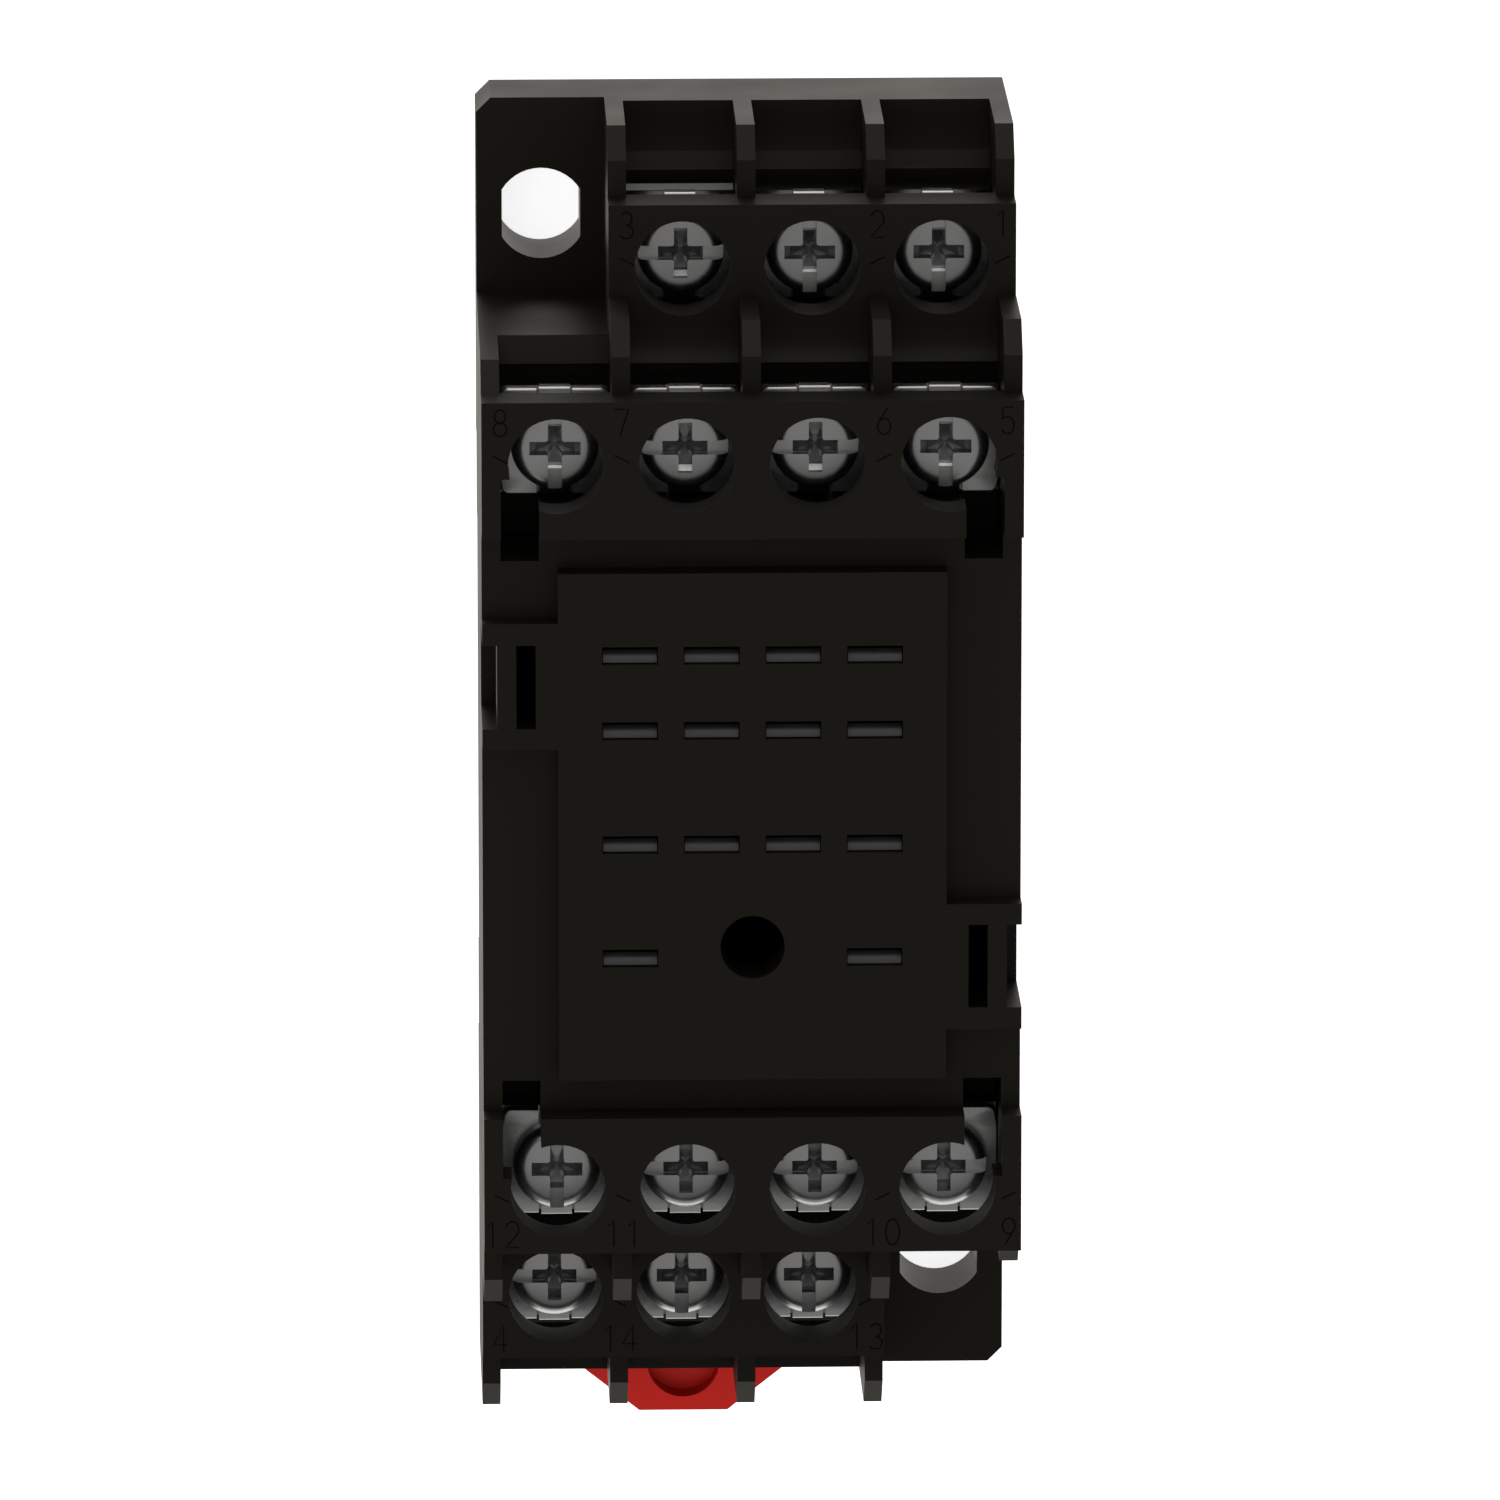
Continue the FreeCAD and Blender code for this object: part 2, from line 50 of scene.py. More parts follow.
# Smoothing angles in degrees
SMOOTH_METAL = 32.0
SMOOTH_RAMP = 35.0
SMOOTH_THIN = 40.0

# Columns and the two tiers, in mm: the screws' distance from the middle, the face, the screws' tops, the
# wells' floor, then the wire ramps' lip, how far that lip stands out from the lintel, and the ramps' reach
COLUMN_PITCH = 7.03
HIGH = {"axis": 20.06, "face": 28.2, "screw_top": 23.4,
        "floor": 17.7, "lip": 18.55, "lip_out": 0.18, "ramp_reach": 2.3}
LOW = {"axis": 28.77, "face": 17.7, "screw_top": 13.3,
       "floor": 6.5, "lip": 7.4, "lip_out": 0.0, "ramp_reach": 2.8}

# Each terminal: its column from -X, its side of the body and its tier
TERMINALS = {
    3: (1, 1, LOW), 2: (2, 1, LOW), 1: (3, 1, LOW),
    8: (0, 1, HIGH), 7: (1, 1, HIGH), 6: (2, 1, HIGH), 5: (3, 1, HIGH),
    12: (0, -1, HIGH), 11: (1, -1, HIGH), 10: (2, -1, HIGH), 9: (3, -1, HIGH),
    4: (0, -1, LOW), 14: (1, -1, LOW), 13: (2, -1, LOW),
}

# Screw head, in mm
HEAD_RADIUS = 2.375
HEAD_FLAT_RADIUS = 1.75
HEAD_HEIGHT = 1.8
HEAD_SHOULDER = 0.95
HEAD_RIM_CHAMFER = 0.08
HEAD_TOP_MARGIN = 0.15

# Terminals whose screw has its drive slot along Y, while the others have it along X
UPRIGHT_DRIVE_SLOTS = (1, 2, 5, 8, 12, 13, 14)

# Recesses in the head, in mm: the drive slot, then the cross from its straight walls down to its tip
DRIVE_SLOT_WIDTH = 0.76
DRIVE_SLOT_DEPTH = 0.66
CROSS_WIDTH = 0.73
CROSS_LENGTH = 2.76
CROSS_FILLET = 0.16
CROSS_WALL_DEPTH = 0.52
CROSS_LEDGE_LENGTH = 2.16
CROSS_LEDGE_DEPTH = 0.78
CROSS_PIT_LENGTH = 2.04
CROSS_PIT_DEPTH = 1.2
CROSS_DEPTH = 1.65

# Threaded shank, in mm
THREAD_RADIUS = 1.5
THREAD_DEPTH = 0.27
THREAD_PITCH = 0.5
THREAD_LENGTH = 5.2
THREAD_NECK = 0.4
THREAD_TIP = 0.4

# Clamp plate, in mm
CLAMP_HALF = 2.93
CLAMP_THICK = 0.9
CLAMP_HOLE_RADIUS = 1.65
CLAMP_CORNER = 0.45
CLAMP_EDGE = 0.14
CLAMP_TAB = 0.835
CLAMP_TAB_OUT = 0.08
CLAMP_TAB_DROP = 0.35
CLAMP_SLIT = 0.14
CLAMP_SLIT_DEPTH = 0.8

# Terminals whose clamp plate has shorter wings beside its front tab, and how far those reach, in mm
SHORT_WING_TERMINALS = (1, 2, 3)
CLAMP_SHORT_WING = 2.3

# Turned-out lip of one strip, in mm: its top and bottom edges, each outwards of the screw's axis and up from
# the clamp plate's top
FRONT_LIP_TERMINAL = 3
FRONT_LIP_TOP = (2.97, -0.92)
FRONT_LIP_BOTTOM = (3.2, -1.62)
FRONT_LIP_THICK = 0.3

# Plug slots and the contacts' lead-in lips, in mm
SLOT_PITCH = 4.4
SLOT_ROWS = (9.5, 5.35, -0.95, -7.25)
LIP_WIDTH = 2.9
LIP_START = -0.44
LIP_REACH = 0.64
LIP_TOP = 27.22
LIP_DROP = 0.3
LIP_THICK = 0.1

# Wire ramps, in mm: the lintel's face beyond the screw's axis, and how the ramps meet the moulding round them
LINTEL_OUT = 3.5
RAMP_HALF_WIDTH = 3.01
RAMP_POWER = 3.2
RAMP_RAISE = 0.015
RAMP_BACK = 0.12
RAMP_LIP_DROP = 0.1
RAMP_SINK = 0.3

# This terminal's ramp, over an ear, is shorter and straight
EAR_TERMINAL = 8
EAR_RAMP_REACH = 1.4
EAR_RAMP_POWER = 1.0

# Numbers and ticks on the tier faces, in mm
DIGIT_HEIGHT = 1.45
DIGIT_WIDTH = 0.75
DIGIT_GAP = 0.35
STROKE_WIDTH = 0.075
STROKE_HEIGHT = 0.03
NUMBER_OUT = 2.4
NUMBER_SHIFT = {1: -0.25, 3: 0.5, 4: 0.47, 5: -0.4, 8: 0.5, 9: -0.18, 12: 0.46, 13: -0.5}
TICK_OUT = 0.4
TICK_HALF = 0.39
TICK_SLOPE = 0.2

# Size of the patches in which a moulding's gloss varies, in mm, and the darkest tint of drawing marks in metal
GLOSS_PATCH = 6.0
MARK_TINT = 0.92

# Floor, in mm, and the strength of what it adds for the camera
FLOOR_HALF = 900.0
FLOOR_DROP = 0.2
FLOOR_GLOW = 0.8

# Surroundings: the lean of a grey cap from straight up, in degrees, the cosines from its middle at which
# white begins to fall and has fallen to grey, those two strengths, and the light for all but glossy rays
CAP_LEAN = 14.0
CAP_RIM = 0.1
CAP_CORE = 0.62
CAP_WHITE = 1.0
CAP_GREY = 0.26
EVEN_LIGHT = 0.85

# Area lamps: name, place and size in metres, and watts
LAMPS = (
    ("lamp above", (-0.05, -0.1, 0.7), 0.5, 1.0),
    ("lamp left", (-0.5, 0.1, 0.4), 0.4, 0.3),
)

# Camera: the photograph's viewpoint, the point it aims at, its lens and its sensor, in mm
CAMERA_PLACE = (-22.9, 190.33, 834.6)
CAMERA_AIM = (0.07, 2.53, 20.0)
CAMERA_LENS = 369.0
CAMERA_SENSOR = 36.0
CAMERA_CLIP_END_M = 10.0


# Colours and materials


def srgb(text):
    """The linear colour of an sRGB hex value, with an alpha of one."""
    parts = [int(text[i:i + 2], 16) / 255.0 for i in (1, 3, 5)]
    return [c / 12.92 if c <= 0.04045 else ((c + 0.055) / 1.055) ** 2.4 for c in parts] + [1.0]


WHITE = srgb("#ffffff")


def add(tree, kind, settings=None, links=None):
    """Adds one node, sets its properties and input values, and links its inputs to other nodes' outputs."""
    node = tree.nodes.new(kind)
    for key, value in (settings or {}).items():
        if isinstance(key, str) and hasattr(node, key):
            setattr(node, key, value)
        else:
            node.inputs[key].default_value = value
    for key, source in (links or {}).items():
        tree.links.new(source, node.inputs[key])
    return node


def blank(name):
    """A material with an empty node tree."""
    material = bpy.data.materials.new(name)
    material.use_nodes = True
    material.node_tree.nodes.clear()
    return material, material.node_tree


def ranged(tree, noise, low, high):
    """Maps a noise texture's usual span, 0.3 to 0.7, onto low to high."""
    node = add(tree, "ShaderNodeMapRange", {"From Min": 0.3, "From Max": 0.7, "To Min": low, "To Max": high},
               {"Value": noise.outputs["Fac"]})
    return node.outputs["Result"]


def moulded_plastic(name, colour, ior, roughness, spread, grain_mm, relief_mm):
    """A moulded thermoplastic: a spark-eroded mould leaves a fine even grain, and its gloss varies a bit."""
    material, tree = blank(name)
    place = add(tree, "ShaderNodeTexCoord")
    grain = add(tree, "ShaderNodeTexNoise", {"Scale": 1.0 / (grain_mm * MM), "Detail": 3.0, "Roughness": 0.6},
                {"Vector": place.outputs["Object"]})
    cloud = add(tree, "ShaderNodeTexNoise", {"Scale": 1.0 / (GLOSS_PATCH * MM), "Detail": 2.0},
                {"Vector": place.outputs["Object"]})
    gloss = ranged(tree, cloud, roughness - spread, roughness + spread)
    bump = add(tree, "ShaderNodeBump", {"Strength": 0.5, "Distance": relief_mm * MM},
               {"Height": grain.outputs["Fac"]})
    shader = add(tree, "ShaderNodeBsdfPrincipled", {"Base Color": srgb(colour), "IOR": ior},
                 {"Roughness": gloss, "Normal": bump.outputs["Normal"]})
    add(tree, "ShaderNodeOutputMaterial", None, {"Surface": shader.outputs["BSDF"]})
    return material


def plated_metal(name, colour, roughness, spread, streak_mm, stretch, relief_mm):
    """Plated metal: faint drawing marks along one way, and a plating that is slightly uneven in gloss."""
    material, tree = blank(name)
    place = add(tree, "ShaderNodeTexCoord")
    along = add(tree, "ShaderNodeMapping", {"Scale": stretch}, {"Vector": place.outputs["Object"]})
    marks = add(tree, "ShaderNodeTexNoise", {"Scale": 1.0 / (streak_mm * MM), "Detail": 4.0},
                {"Vector": along.outputs["Vector"]})
    tint = ranged(tree, marks, MARK_TINT, 1.0)
    shade = add(tree, "ShaderNodeMix",
                {"data_type": "RGBA", "blend_type": "MULTIPLY", "Factor": 1.0, "A": srgb(colour)},
                {"B": tint})
    gloss = ranged(tree, marks, roughness - spread, roughness + spread)
    bump = add(tree, "ShaderNodeBump", {"Strength": 0.3, "Distance": relief_mm * MM},
               {"Height": marks.outputs["Fac"]})
    shader = add(tree, "ShaderNodeBsdfPrincipled", {"Metallic": 1.0},
                 {"Base Color": shade.outputs[2], "Roughness": gloss, "Normal": bump.outputs["Normal"]})
    add(tree, "ShaderNodeOutputMaterial", None, {"Surface": shader.outputs["BSDF"]})
    return material


# Glass-filled PBT from a fine spark-eroded mould: near black, matt face on, with a sheen at a low angle
black_pbt = moulded_plastic("moulded black PBT", "#13110b", ior=1.25,
                            roughness=0.42, spread=0.04, grain_mm=0.12, relief_mm=0.005)
# The same moulding, rougher so it takes less gloss, and darker in colour as painted shade: on the wire ramps
# of side -1 it stands for the deep shade under the lintels, and on the numbers for the shade along their
# strokes
painted_shade_pbt = moulded_plastic("black PBT darkened as painted shade", "#060504", ior=1.1,
                            roughness=0.7, spread=0.03, grain_mm=0.06, relief_mm=0.004)
# Polyamide from a smoother mould: an even signal red with a soft gloss
red_polyamide = moulded_plastic("moulded red polyamide", "#bf1c13", ior=1.25,
                                roughness=0.36, spread=0.03, grain_mm=0.2, relief_mm=0.003)
# Zinc-plated steel, barrelled: grey, with a soft broken reflection
zinc_steel = plated_metal("zinc-plated steel", "#dadcdf", roughness=0.3, spread=0.03,
                          streak_mm=0.5, stretch=(1.0, 1.0, 1.0), relief_mm=0.0012)
# Tin-plated bronze of the contacts: rolled thin, dull and darker than the screws
tinned_bronze = plated_metal("tin-plated bronze", "#707274", roughness=0.42, spread=0.04,
                             streak_mm=0.3, stretch=(0.15, 1.0, 1.0), relief_mm=0.001)
# Nickel-plated brass strip: rolled, so its marks run along Y
nickel_brass = plated_metal("nickel-plated brass", "#a3a19b", roughness=0.16, spread=0.03,
                            streak_mm=0.25, stretch=(1.0, 0.12, 1.0), relief_mm=0.0006)


# Meshes and pieces


def new_mesh(name, points, faces):
    """A mesh from points in mm and faces as lists of their indices."""
    mesh = bpy.data.meshes.new(name)
    mesh.from_pydata((np.asarray(points, dtype=float) * MM).tolist(), [], faces)
    mesh.update()
    return mesh


def grid_mesh(name, points, close_u=False, close_v=False, flip=False):
    """A quad mesh over an (m, n, 3) array of points. A closed direction joins its last row to its first."""
    rows, columns = points.shape[:2]
    index = np.arange(rows * columns).reshape(rows, columns)
    if close_u:
        index = np.vstack([index, index[:1]])
    if close_v:
        index = np.hstack([index, index[:, :1]])
    corners = [index[:-1, :-1], index[1:, :-1], index[1:, 1:], index[:-1, 1:]]
    quads = np.stack(corners, axis=-1).reshape(-1, 4)
    if flip:
        quads = quads[:, ::-1]
    return new_mesh(name, points.reshape(-1, 3), quads.tolist())


def block_mesh(name, top, bottom):
    """A closed block between two outlines of the same number of points, the top one and the bottom one."""
    count = len(top)
    faces = [list(range(count))[::-1], list(range(count, 2 * count))]
    for i in range(count):
        j = (i + 1) % count
        faces.append([i, j, count + j, count + i])
    return new_mesh(name, bottom + top, faces)


def prism_mesh(name, outline, top, bottom):
    """A closed block that keeps one outline from a top height to a bottom one."""
    return block_mesh(name, [(x, y, top) for x, y in outline], [(x, y, bottom) for x, y in outline])


def pointed_mesh(name, rings, tip):
    """A closed block whose sides run down through the rings, and whose floor falls from the last to a tip."""
    count = len(rings[0])
    points = [point for ring in rings for point in ring] + [tip]
    last = (len(rings) - 1) * count
    faces = [list(range(count))]
    for i in range(count):
        j = (i + 1) % count
        for start in range(0, last, count):
            faces.append([start + i, start + j, start + count + j, start + count + i])
        faces.append([last + i, last + j, len(points) - 1])
    return new_mesh(name, points, faces)


def merged(mesh, distance_mm, fill=False):
    """Closes a mesh's seams and poles, and its open ends where fill is set, and points its faces outwards."""
    work = bmesh.new()
    work.from_mesh(mesh)
    bmesh.ops.remove_doubles(work, verts=work.verts, dist=distance_mm * MM)
    if fill:
        bmesh.ops.holes_fill(work, edges=work.edges, sides=0)
    bmesh.ops.recalc_face_normals(work, faces=work.faces)
    work.to_mesh(mesh)
    work.free()
    return mesh


def joined(meshes, name):
    """One mesh that holds several, each as it is."""
    work = bmesh.new()
    for mesh in meshes:
        work.from_mesh(mesh)
    result = bpy.data.meshes.new(name)
    work.to_mesh(result)
    work.free()
    return result


def moved(mesh, x, y, z):
    """The mesh itself, moved by a distance in mm."""
    mesh.transform(Matrix.Translation(Vector((x, y, z)) * MM))
    return mesh


def half_turned(mesh, side):
    """A copy as it is for side 1, and half a turn about Z for side -1."""
    copy = mesh.copy()
    if side < 0:
        copy.transform(Matrix.Rotation(math.pi, 4, "Z"))
    return copy


def cut_away(target, cutter):
    """The target's mesh less the cutter's, cut at a thousand times the size so that fine steps keep apart."""
    for mesh in (target, cutter):
        mesh.transform(Matrix.Scale(1.0 / MM, 4))
    holder = bpy.data.objects.new("cut target", target)
    tool = bpy.data.objects.new("cut tool", cutter)
    for item in (holder, tool):
        bpy.context.scene.collection.objects.link(item)
    modifier = holder.modifiers.new("cut", "BOOLEAN")
    modifier.operation = "DIFFERENCE"
    modifier.solver = "EXACT"
    modifier.object = tool
    graph = bpy.context.evaluated_depsgraph_get()
    result = bpy.data.meshes.new_from_object(holder.evaluated_get(graph))
    for item in (holder, tool):
        bpy.data.objects.remove(item)
    result.transform(Matrix.Scale(MM, 4))
    return result


def new_piece(name, mesh, material, body, smooth=None):
    """Puts a mesh in the scene as a piece. Edges sharper than the smoothing angle stay crisp."""
    if smooth is not None:
        mesh.shade_smooth()
        mesh.set_sharp_from_angle(angle=math.radians(smooth))
    mesh.name = name
    mesh.materials.append(material)
    piece = bpy.data.objects.new(name, mesh)
    bpy.context.scene.collection.objects.link(piece)
    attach(piece, body)
    return piece


def terminal_place(number):
    """A terminal's screw axis in mm, its side of the body and its tier."""
    column, side, tier = TERMINALS[number]
    return (column - 1.5) * COLUMN_PITCH, side * tier["axis"], side, tier


# Terminal screws


def revolved(profile, steps=64):
    """A surface of revolution about Z: each (r, z) of the profile goes round as (r cos t, r sin t, z)."""
    profile = np.asarray(profile, dtype=float)
    turn = np.linspace(0.0, 2.0 * math.pi, steps, endpoint=False)
    radius = profile[:, 0][:, None]
    height = np.repeat(profile[:, 1][:, None], steps, axis=1)
    return np.stack([radius * np.cos(turn), radius * np.sin(turn), height], axis=-1)


def head_profile():
    """The screw head from under its rim, up the side, round the shoulder and in to the middle of the top.

    The shoulder is a quarter of an ellipse: r = flat + (rim - flat) cos t, z = shoulder (sin t - 1)."""
    t = np.linspace(0.0, math.pi / 2.0, 10)
    shoulder_r = HEAD_FLAT_RADIUS + (HEAD_RADIUS - HEAD_FLAT_RADIUS) * np.cos(t)
    shoulder_z = -HEAD_SHOULDER + HEAD_SHOULDER * np.sin(t)
    start = [(POLE_RADIUS, -HEAD_HEIGHT), (THREAD_RADIUS, -HEAD_HEIGHT),
             (HEAD_RADIUS - HEAD_RIM_CHAMFER, -HEAD_HEIGHT), (HEAD_RADIUS, -HEAD_HEIGHT + HEAD_RIM_CHAMFER)]
    end = [(HEAD_FLAT_RADIUS - HEAD_TOP_MARGIN, 0.0), (POLE_RADIUS, 0.0)]
    return start + list(zip(shoulder_r, shoulder_z)) + end


def cross_outline(length, z):
    """The outline of a cross with four arms and small fillets where they meet."""
    arm = length / 2.0
    half = CROSS_WIDTH / 2.0
    quarter = [(arm, -half), (arm, half), (half + CROSS_FILLET, half)]
    quarter += [(half + CROSS_FILLET * (1 - math.sin(t)), half + CROSS_FILLET * (1 - math.cos(t)))
                for t in np.linspace(0.0, math.pi / 2.0, 5)[1:-1]]
    quarter += [(half, half + CROSS_FILLET)]
    points = []
    for k in range(4):
        c = round(math.cos(k * math.pi / 2.0))
        s = round(math.sin(k * math.pi / 2.0))
        points += [(x * c - y * s, x * s + y * c, z) for x, y in quarter]
    return points


def screw_head(upright):
    """A screw head, its top at height 0: a cross recess with sloped ends, and a drive slot right across."""
    head = merged(grid_mesh("head", revolved(head_profile()), close_v=True), POLE_MERGE)
    rings = [cross_outline(length, z) for length, z in (
        (CROSS_LENGTH, CUT_MARGIN), (CROSS_LENGTH, -CROSS_WALL_DEPTH),
        (CROSS_LEDGE_LENGTH, -CROSS_LEDGE_DEPTH), (CROSS_PIT_LENGTH, -CROSS_PIT_DEPTH))]
    cross = pointed_mesh("cross", rings, (0.0, 0.0, -CROSS_DEPTH))
    head = cut_away(head, merged(cross, TINY))
    half = DRIVE_SLOT_WIDTH / 2.0
    reach = HEAD_RADIUS + CUT_MARGIN
    corners = [(-reach, -half), (reach, -half), (reach, half), (-reach, half)]
    if upright:
        corners = [(-half, -reach), (half, -reach), (half, reach), (-half, reach)]
    slot = prism_mesh("slot", corners, CUT_MARGIN, -DRIVE_SLOT_DEPTH)
    return cut_away(head, merged(slot, TINY))


def thread_points(steps=40, rows_per_turn=8):
    """The threaded shank: r = crest - depth times a triangle wave of (z / pitch - turn), one wave to a pitch.

    It grows out of a neck at the wave's root, shrinks over its last stretch and ends in a blunt tip."""
    rows = int(THREAD_LENGTH / THREAD_PITCH * rows_per_turn)
    z = np.linspace(0.0, -THREAD_LENGTH, rows)[:, None]
    turn = np.linspace(0.0, 2.0 * math.pi, steps, endpoint=False)[None, :]
    phase = (z / THREAD_PITCH - turn / (2.0 * math.pi)) % 1.0
    wave = np.abs(2.0 * phase - 1.0)
    radius = THREAD_RADIUS - THREAD_DEPTH * wave
    blunt = np.clip((z + THREAD_LENGTH) / THREAD_TIP, 0.0, 1.0)
    radius = np.minimum(radius, THREAD_RADIUS - THREAD_TIP * (1.0 - blunt))
    neck = np.clip(-z / THREAD_NECK, 0.0, 1.0)
    radius = radius * neck + (THREAD_RADIUS - THREAD_DEPTH) * (1.0 - neck)
    points = np.stack([radius * np.cos(turn), radius * np.sin(turn), np.repeat(z, steps, axis=1)], axis=-1)
    cap = revolved([(POLE_RADIUS, -THREAD_LENGTH)], steps)
    return np.concatenate([points, cap], axis=0)


def make_screws():
    shank = merged(grid_mesh("shank", thread_points(), close_v=True), POLE_MERGE)
    moved(shank, 0.0, 0.0, -HEAD_HEIGHT)
    heads = {upright: screw_head(upright) for upright in (False, True)}
    for number in TERMINALS:
        x, y, _, tier = terminal_place(number)
        name = "screw_%02d" % number
        mesh = joined([heads[number in UPRIGHT_DRIVE_SLOTS], shank], name)
        moved(mesh, x, y, tier["screw_top"])
        screw = new_piece(name, mesh, zinc_steel, name, SMOOTH_METAL)
        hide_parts("terminal_screw_%02d" % number)


# Clamp plates


def clamp_side(wing):
    """Half the plate's outline from +X to -X: corner, wing, slit, tab, slit, wing, corner."""
    half = CLAMP_HALF
    inner = half - CLAMP_SLIT_DEPTH
    slit = CLAMP_TAB + CLAMP_SLIT
    t = np.linspace(0.0, math.pi / 2.0, 6)
    corner = [(half - CLAMP_CORNER * (1 - math.cos(a)), wing - CLAMP_CORNER * (1 - math.sin(a))) for a in t]
    right = corner + [(slit, wing), (slit, inner), (CLAMP_TAB, inner), (CLAMP_TAB, half + CLAMP_TAB_OUT)]
    left = [(-x, y) for x, y in reversed(right)]
    return right + left


def round_top_edges(mesh):
    """Rounds the top edges that run along X at the plate's front and rear."""
    work = bmesh.new()
    work.from_mesh(mesh)
    edges = []
    for edge in work.edges:
        a, b = (v.co / MM for v in edge.verts)
        outside = min(abs(a.y), abs(b.y)) > CLAMP_SHORT_WING - CLAMP_CORNER - TINY
        if min(a.z, b.z) > -TINY and outside and abs(a.x - b.x) > TINY:
            edges.append(edge)
    bmesh.ops.bevel(work, geom=edges, offset=CLAMP_EDGE * MM, segments=4, profile=0.5, affect="EDGES")
    bmesh.ops.recalc_face_normals(work, faces=work.faces)
    work.to_mesh(mesh)
    work.free()


def slope_rear_tab(mesh):
    """Slopes the rear tab's top: z falls by drop s, with s from 0 at its root to 1 at the plate's rear."""
    start = CLAMP_HALF - CLAMP_SLIT_DEPTH
    work = bmesh.new()
    work.from_mesh(mesh)
    parts = work.verts[:] + work.edges[:] + work.faces[:]
    bmesh.ops.bisect_plane(work, geom=parts, plane_co=(0.0, -start * MM, 0.0), plane_no=(0.0, 1.0, 0.0))
    work.to_mesh(mesh)
    work.free()
    places = np.empty(len(mesh.vertices) * 3, dtype=np.float32)
    mesh.vertices.foreach_get("co", places)
    places = places.reshape(-1, 3)
    x, y, z = places.T / MM
    beyond = -y - start
    sloped = (z > -CLAMP_THICK / 2.0) & (np.abs(x) < CLAMP_TAB + TINY) & (beyond > TINY)
    s = np.where(sloped, np.minimum(beyond / CLAMP_SLIT_DEPTH, 1.0), 0.0)
    places[:, 2] -= CLAMP_TAB_DROP * MM * s
    mesh.vertices.foreach_set("co", places.ravel())
    mesh.update()


def clamp_mesh(wing):
    """The square plate with rounded corners, two slits at its front and two at its rear, and a hole."""
    rear = [(-x, -y) for x, y in clamp_side(CLAMP_HALF)]
    plate = prism_mesh("clamp", clamp_side(wing) + rear, 0.0, -CLAMP_THICK)
    round_top_edges(plate)
    slope_rear_tab(plate)
    ring = [(CLAMP_HOLE_RADIUS * math.cos(a), CLAMP_HOLE_RADIUS * math.sin(a))
            for a in np.linspace(0.0, 2.0 * math.pi, 48, endpoint=False)]
    hole = prism_mesh("hole", ring, CUT_MARGIN, -CLAMP_THICK - CUT_MARGIN)
    return cut_away(plate, merged(hole, TINY))


def make_clamps():
    full_clamp = clamp_mesh(CLAMP_HALF)
    short_clamp = clamp_mesh(CLAMP_SHORT_WING)
    for number in TERMINALS:
        x, y, side, tier = terminal_place(number)
        name = "clamp_%02d" % number
        clamp = short_clamp if number in SHORT_WING_TERMINALS else full_clamp
        mesh = moved(half_turned(clamp, side), x, y, tier["screw_top"] - HEAD_HEIGHT)
        plate = new_piece(name, mesh, zinc_steel, name, SMOOTH_METAL)
        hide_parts("clamp_plate_%02d" % number)


# Turned-out front lip of one strip


def make_front_lip():
    """A short sloped plate across the wire entry, as wide as the clamp plate, with flat faces."""
    x, y, _, tier = terminal_place(FRONT_LIP_TERMINAL)
    z = tier["screw_top"] - HEAD_HEIGHT
    outlines = []
    for outwards, up in (FRONT_LIP_TOP, FRONT_LIP_BOTTOM):
        outer = y + outwards
        inner = outer - FRONT_LIP_THICK
        outlines.append([(x - CLAMP_HALF, inner, z + up), (x + CLAMP_HALF, inner, z + up),
                         (x + CLAMP_HALF, outer, z + up), (x - CLAMP_HALF, outer, z + up)])
    name = "front_lip_%02d" % FRONT_LIP_TERMINAL
    mesh = merged(block_mesh(name, outlines[0], outlines[1]), TINY)
    new_piece(name, mesh, tinned_bronze, "body")


# Lead-in lips of the contact springs


def slot_place(number):
    """The middle of a terminal's plug slot: rows of four, with number 1 on the right, and 14 and 13 last."""
    if number > 12:
        return (1.5 if number == 13 else -1.5) * SLOT_PITCH, SLOT_ROWS[3]
    return ((4 - number) % 4 - 1.5) * SLOT_PITCH, SLOT_ROWS[(number - 1) // 4]


def lip_mesh(x, y):
    """A contact's top leaf, just under its slot: z = top - drop s^2, with s from 0 to 1 across the slot."""
    across = np.linspace(-0.5, 0.5, 9)
    along = np.linspace(0.0, 1.0, 9)
    top = np.zeros((9, 9, 3))
    top[:, :, 0] = x + LIP_WIDTH * across[:, None]
    top[:, :, 1] = y + LIP_START + LIP_REACH * along[None, :]
    top[:, :, 2] = LIP_TOP - LIP_DROP * along[None, :] ** 2
    under = top.copy()
    under[:, :, 2] -= LIP_THICK
    return grid_mesh("lip", np.concatenate([top, under[::-1]]), close_u=True)


def make_contact_lips():
    for number in TERMINALS:
        mesh = merged(lip_mesh(*slot_place(number)), TINY, fill=True)
        new_piece("contact_lip_%02d" % number, mesh, tinned_bronze, "body", SMOOTH_THIN)


# Hollowed ramps up to the wire entries


def ramp_mesh(x, y, side, tier, reach, power):
    """A ramp whose top is z = floor + rise s^power, where s runs from 0 at its outer end to 1 at its lip."""
    s = np.linspace(0.0, 1.0, 25)
    lip_y = LINTEL_OUT + tier["lip_out"]
    top_z = tier["floor"] + (tier["lip"] - tier["floor"]) * s ** power
    back_y = lip_y - RAMP_BACK
    profile_y = np.concatenate([lip_y + reach * (1.0 - s), [back_y, back_y]])
    back_z = [tier["lip"] - RAMP_LIP_DROP, tier["floor"] - RAMP_SINK]
    profile_z = np.concatenate([top_z + RAMP_RAISE, back_z])
    points = np.zeros((2, len(profile_y), 3))
    points[:, :, 0] = x + np.array([-RAMP_HALF_WIDTH, RAMP_HALF_WIDTH])[:, None]
    points[:, :, 1] = y + side * profile_y[None, :]
    points[:, :, 2] = profile_z[None, :]
    return grid_mesh("ramp", points, close_v=True)


